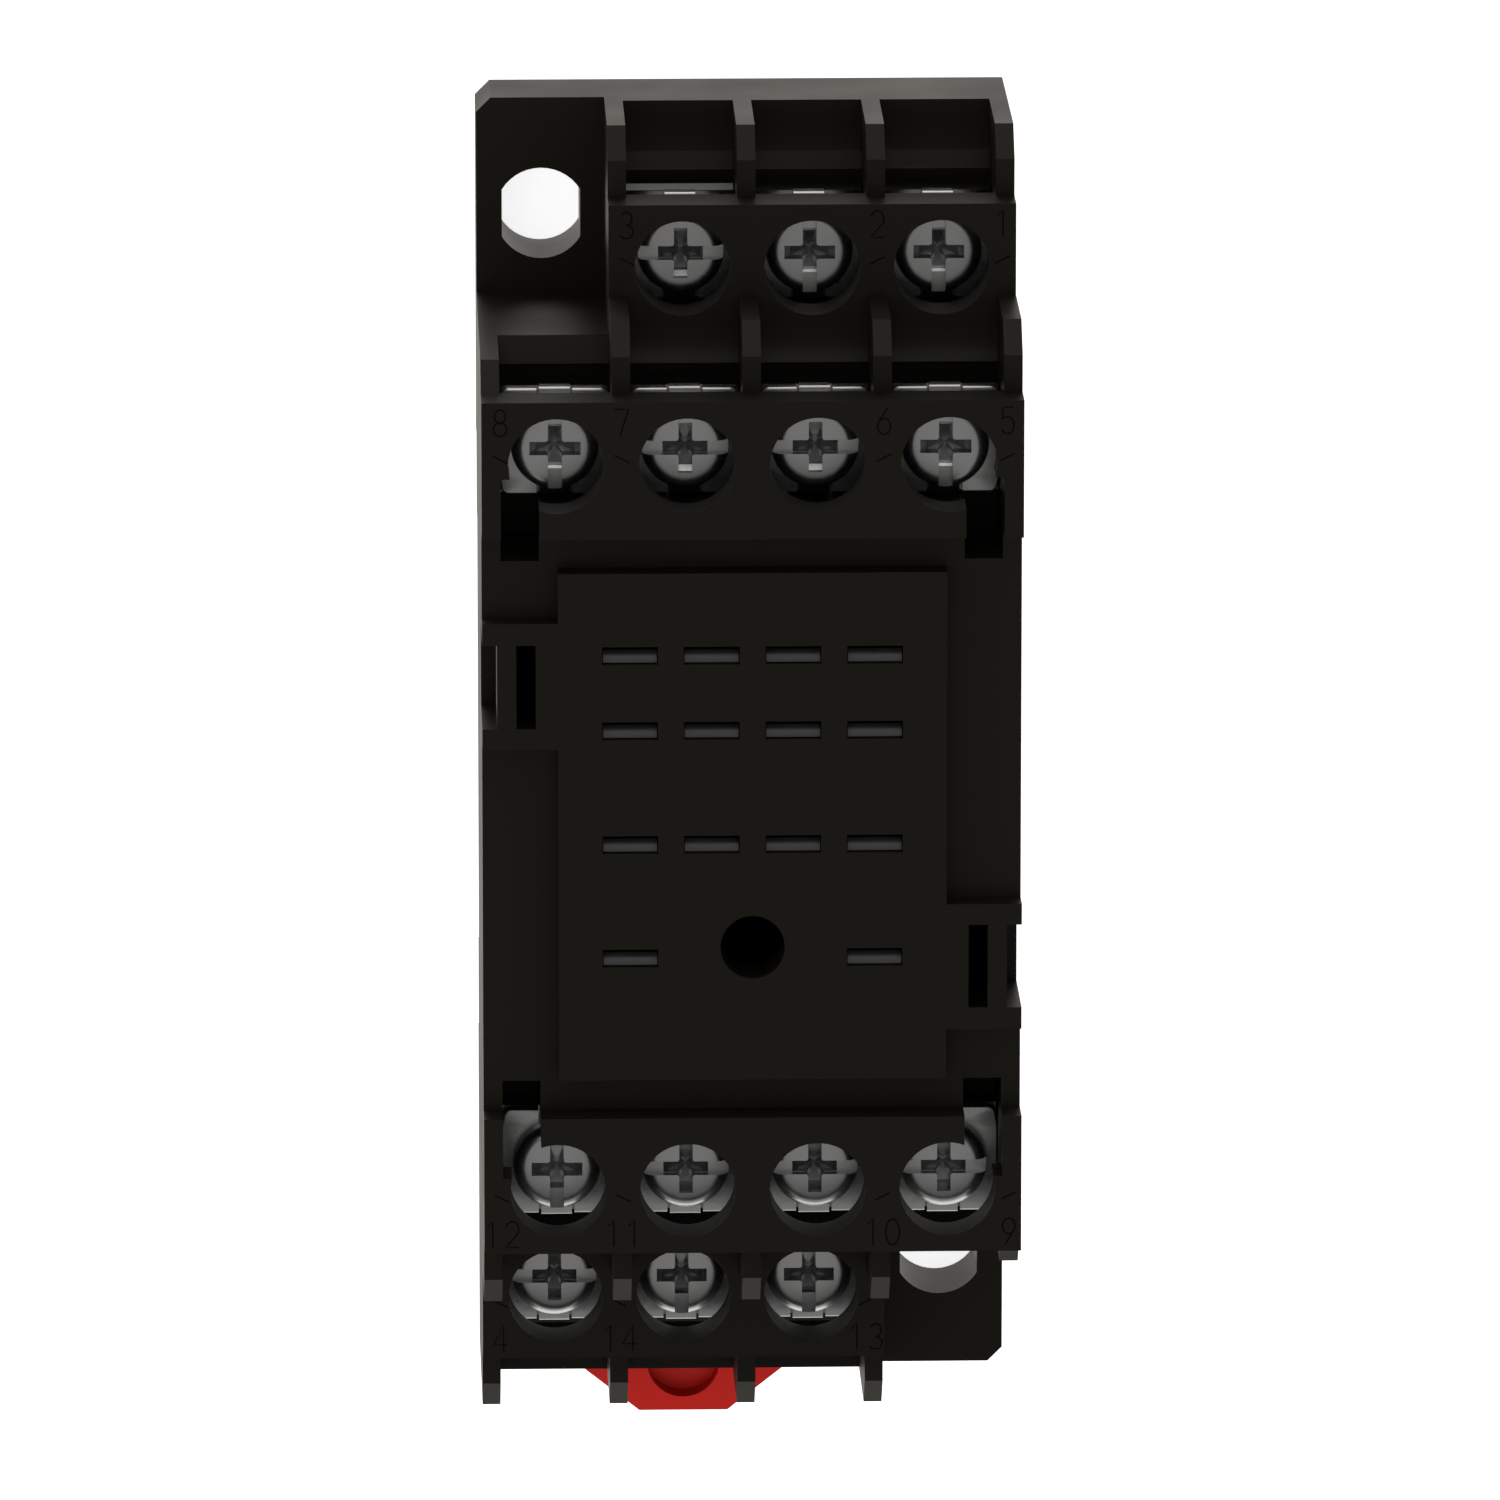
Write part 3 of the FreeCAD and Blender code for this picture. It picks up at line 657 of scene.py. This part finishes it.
def make_wire_ramps():
    for number in TERMINALS:
        x, y, side, tier = terminal_place(number)
        reach, power = tier["ramp_reach"], RAMP_POWER
        if number == EAR_TERMINAL:
            reach, power = EAR_RAMP_REACH, EAR_RAMP_POWER
        mesh = merged(ramp_mesh(x, y, side, tier, reach, power), TINY, fill=True)
        # The ramps of side -1 take the darkened moulding: painted shade that stands for the deep shade under
        # their lintels
        material = black_pbt if side > 0 else painted_shade_pbt
        new_piece("wire_ramp_%02d" % number, mesh, material, "body", SMOOTH_RAMP)


# Raised terminal numbers


def arc(cx, cy, rx, ry, start, end, steps=14):
    """Points on an arc of an ellipse, with its angles in degrees."""
    t = np.radians(np.linspace(start, end, steps))
    return np.stack([cx + rx * np.cos(t), cy + ry * np.sin(t)], axis=-1)


# The strokes of each digit in a box one wide and one high, each stroke a line of points
DIGITS = {
    "0": [arc(0.5, 0.5, 0.5, 0.5, 0, 360, 28)],
    "1": [[(0.15, 0.8), (0.55, 1.0), (0.55, 0.0)]],
    "2": [np.vstack([arc(0.5, 0.7, 0.46, 0.3, 160, -40), [(0.02, 0.0), (1.0, 0.0)]])],
    "3": [np.vstack([arc(0.45, 0.75, 0.42, 0.25, 150, -90), arc(0.45, 0.25, 0.5, 0.25, 90, -150)])],
    "4": [[(0.95, 0.28), (0.0, 0.28), (0.72, 1.0), (0.72, 0.0)]],
    "5": [np.vstack([[(0.9, 1.0), (0.18, 1.0), (0.1, 0.55)], arc(0.48, 0.32, 0.48, 0.32, 125, -150)])],
    "6": [np.vstack([[(0.75, 1.0), (0.12, 0.48)], arc(0.5, 0.3, 0.46, 0.3, 160, 520, 28)])],
    "7": [[(0.0, 1.0), (1.0, 1.0), (0.35, 0.0)]],
    "8": [arc(0.5, 0.75, 0.4, 0.25, 0, 360, 24), arc(0.5, 0.26, 0.48, 0.26, 0, 360, 24)],
    "9": [np.vstack([arc(0.5, 0.7, 0.46, 0.3, 340, -20, 28), [(0.25, 0.0)]])],
}


def stroke_mesh(line, z):
    """A low bead along a line of (x, y) points: half an ellipse of the stroke's width and height at each.

    Its side vectors are the line's direction turned a quarter, taken from central differences."""
    line = np.asarray(line, dtype=float)
    way = np.gradient(line, axis=0)
    way = way / np.maximum(np.linalg.norm(way, axis=1, keepdims=True), 1e-9)
    across = np.stack([-way[:, 1], way[:, 0]], axis=-1)
    t = np.linspace(0.0, math.pi, 7)
    offset = np.cos(t) * STROKE_WIDTH / 2.0
    lift = np.sin(t) * STROKE_HEIGHT
    points = np.zeros((len(line), len(t), 3))
    points[:, :, :2] = line[:, None, :] + across[:, None, :] * offset[None, :, None]
    points[:, :, 2] = z + lift[None, :]
    return grid_mesh("stroke", points, flip=True)


def number_strokes(text, cx, cy, z):
    """The strokes of a number's digits, side by side about a middle point, each a mesh."""
    strokes = []
    total = len(text) * DIGIT_WIDTH + (len(text) - 1) * DIGIT_GAP
    for place, digit in enumerate(text):
        left = cx - total / 2.0 + place * (DIGIT_WIDTH + DIGIT_GAP)
        for line in DIGITS[digit]:
            line = np.asarray(line) * [DIGIT_WIDTH, DIGIT_HEIGHT] + [left, cy - DIGIT_HEIGHT / 2.0]
            strokes.append(stroke_mesh(line, z))
    return strokes


def make_numbers():
    """Each number and its tick stand over the rib on its column's outer side, the number farther out."""
    for number in TERMINALS:
        x, y, side, tier = terminal_place(number)
        outer = math.copysign(1.0, x)
        number_x = x + outer * COLUMN_PITCH / 2.0 + NUMBER_SHIFT.get(number, 0.0)
        strokes = number_strokes(str(number), number_x, y + side * NUMBER_OUT, tier["face"])
        tick_y = y + side * TICK_OUT
        slope = outer * TICK_SLOPE
        tick = [(number_x - TICK_HALF, tick_y - slope), (number_x + TICK_HALF, tick_y + slope)]
        strokes.append(stroke_mesh(tick, tier["face"]))
        name = "number_%02d" % number
        # The strokes take the darkened moulding: painted shade that makes them read as dark lines on the face
        new_piece(name, joined(strokes, name), painted_shade_pbt, "body", SMOOTH_THIN)


# Finishes of the carried-over nodes


def finish_nodes():
    """The hidden clamp plates and screws get the same steel as the pieces that stand for them."""
    for name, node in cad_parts.items():
        if name in ("housing", "base_plate"):
            material = black_pbt
        elif name == "rail_clip":
            material = red_polyamide
        elif name.startswith("terminal_strip"):
            material = nickel_brass
        else:
            material = zinc_steel
        node.data.materials.clear()
        node.data.materials.append(material)


# Floor, light and camera


def either_ray(tree, first, second):
    """One for a ray of either kind, and zero for any other."""
    path = add(tree, "ShaderNodeLightPath")
    either = add(tree, "ShaderNodeMath", {"operation": "MAXIMUM"},
                 {0: path.outputs[first], 1: path.outputs[second]})
    return either.outputs[0]


def mixed(tree, choice, other, chosen):
    """Shows the chosen shader where the choice is one and the other where it is zero."""
    return add(tree, "ShaderNodeMixShader", None, {0: choice, 1: other, 2: chosen}).outputs[0]


def make_floor():
    """A pale floor with a glow added for the camera. To glossy and transmission rays it is a warm white."""
    corners = np.array([[(-1, -1, 0), (-1, 1, 0)], [(1, -1, 0), (1, 1, 0)]]) * FLOOR_HALF
    mesh = grid_mesh("floor", corners)
    floor = bpy.data.objects.new("floor", mesh)
    bpy.context.scene.collection.objects.link(floor)
    material, tree = blank("pale floor")
    paint = add(tree, "ShaderNodeBsdfDiffuse", {"Color": srgb("#f4f4f4")})
    glow = add(tree, "ShaderNodeEmission", {"Color": WHITE, "Strength": FLOOR_GLOW})
    both = add(tree, "ShaderNodeAddShader", None, {0: paint.outputs[0], 1: glow.outputs[0]})
    path = add(tree, "ShaderNodeLightPath")
    seen = mixed(tree, path.outputs["Is Camera Ray"], paint.outputs[0], both.outputs[0])
    warm = add(tree, "ShaderNodeEmission", {"Color": srgb("#fffaf2"), "Strength": 1.0})
    mirrored = either_ray(tree, "Is Glossy Ray", "Is Transmission Ray")
    add(tree, "ShaderNodeOutputMaterial", None, {"Surface": mixed(tree, mirrored, seen, warm.outputs[0])})
    mesh.materials.append(material)
    floor.location.z = -FLOOR_DROP * MM


def make_world():
    """White near the horizon and grey overhead for glossy rays, white for the camera, even light otherwise.

    The grey cap's middle leans from straight up towards -Y, so the white reaches higher on the +Y side."""
    world = bpy.data.worlds.new("studio")
    bpy.context.scene.world = world
    world.use_nodes = True
    tree = world.node_tree
    tree.nodes.clear()
    lean = math.radians(CAP_LEAN)
    place = add(tree, "ShaderNodeTexCoord")
    nearness = add(tree, "ShaderNodeVectorMath",
                   {"operation": "DOT_PRODUCT", 1: (0.0, -math.sin(lean), math.cos(lean))},
                   {0: place.outputs["Generated"]})
    cap = add(tree, "ShaderNodeMapRange",
              {"From Min": CAP_RIM, "From Max": CAP_CORE, "To Min": CAP_WHITE, "To Max": CAP_GREY},
              {"Value": nearness.outputs["Value"]})
    mirror = add(tree, "ShaderNodeBackground", {"Color": srgb("#fffbf5")},
                 {"Strength": cap.outputs["Result"]})
    even = add(tree, "ShaderNodeBackground", {"Color": WHITE, "Strength": EVEN_LIGHT})
    eye = add(tree, "ShaderNodeBackground", {"Color": WHITE, "Strength": 1.0})
    path = add(tree, "ShaderNodeLightPath")
    lit = mixed(tree, path.outputs["Is Glossy Ray"], even.outputs[0], mirror.outputs[0])
    direct = either_ray(tree, "Is Camera Ray", "Is Transmission Ray")
    add(tree, "ShaderNodeOutputWorld", None, {"Surface": mixed(tree, direct, lit, eye.outputs[0])})


def soft_lamp(name, where, size, watts):
    """A square area lamp aimed at the object that lights it without showing in its gloss."""
    data = bpy.data.lights.new(name, "AREA")
    data.size = size
    data.energy = watts
    lamp = bpy.data.objects.new(name, data)
    lamp.location = where
    lamp.rotation_euler = (-Vector(where)).to_track_quat("-Z", "Y").to_euler()
    lamp.visible_glossy = False
    bpy.context.scene.collection.objects.link(lamp)


def make_camera():
    """Stands at the photograph's viewpoint, aims at the middle and keeps the body's length upright."""
    data = bpy.data.cameras.new("camera")
    data.sensor_width = CAMERA_SENSOR
    data.lens = CAMERA_LENS
    data.clip_end = CAMERA_CLIP_END_M
    camera = bpy.data.objects.new("camera", data)
    place = Vector(CAMERA_PLACE) * MM
    aim = Vector(CAMERA_AIM) * MM
    forward = (aim - place).normalized()
    right = forward.cross(Vector((0.0, 1.0, 0.0))).normalized()
    above = right.cross(forward)
    camera.location = place
    camera.rotation_euler = Matrix((right, above, -forward)).transposed().to_euler()
    bpy.context.scene.collection.objects.link(camera)
    bpy.context.scene.camera = camera


make_screws()
make_clamps()
make_front_lip()
make_contact_lips()
make_wire_ramps()
make_numbers()
finish_nodes()

make_floor()
make_world()
for lamp in LAMPS:
    soft_lamp(*lamp)
make_camera()

bpy.context.scene.view_settings.view_transform = "Standard"
